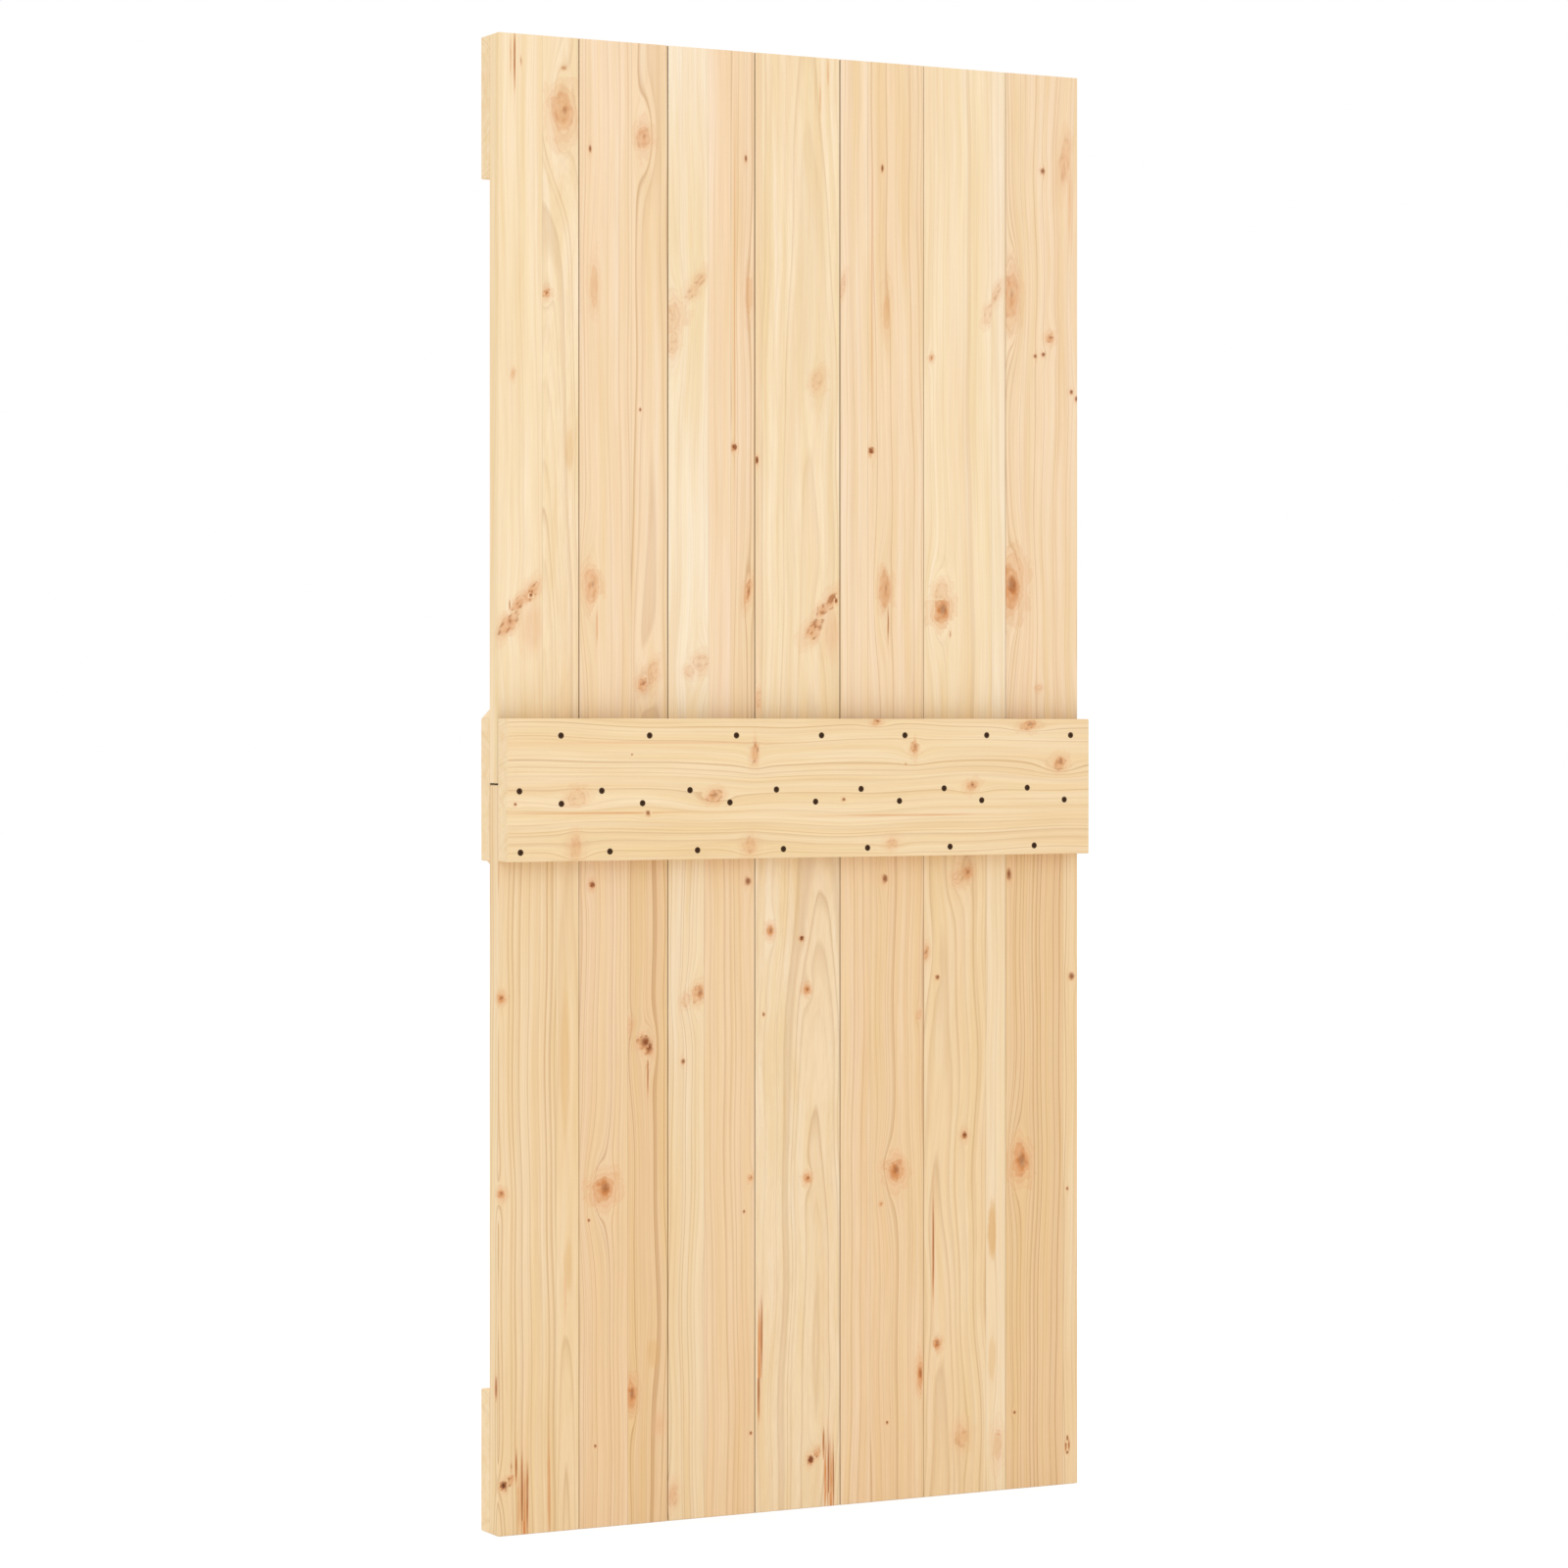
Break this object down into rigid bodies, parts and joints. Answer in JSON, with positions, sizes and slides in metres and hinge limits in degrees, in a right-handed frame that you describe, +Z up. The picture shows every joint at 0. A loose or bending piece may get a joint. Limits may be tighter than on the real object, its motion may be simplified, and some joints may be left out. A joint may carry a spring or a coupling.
{
  "type": "plank sliding door panel",
  "caption": "Pine plank sliding door panel: tongued and grooved boards, front rails with two slanting braces, and a screwed back ledge.",
  "frame": {"origin": "middle of the top rail's front face, where the hangers bolt on; the door hangs below it", "axes": "X along the door's width, +Y out of the front face with the rails and braces, +Z up"},
  "size_m": [0.95, 0.0905, 2.1],
  "materials": {
    "pine_boards": "planed, unpainted",
    "pine_rails": "planed, unpainted",
    "pine_ledge": "planed, unpainted"
  },
  "bodies": {
    "root": {"upper_board_1": "pine_boards", "upper_board_2": "pine_boards", "upper_board_3": "pine_boards", "upper_board_4": "pine_boards", "upper_board_5": "pine_boards", "upper_board_6": "pine_boards", "upper_board_7": "pine_boards", "lower_board_1": "pine_boards", "lower_board_2": "pine_boards", "lower_board_3": "pine_boards", "lower_board_4": "pine_boards", "lower_board_5": "pine_boards", "lower_board_6": "pine_boards", "lower_board_7": "pine_boards", "back_ledge": "pine_ledge", "front_top_rail": "pine_rails", "front_middle_rail": "pine_rails", "front_bottom_rail": "pine_rails", "upper_brace": "pine_rails", "lower_brace": "pine_rails"}
  },
  "joints": []
}
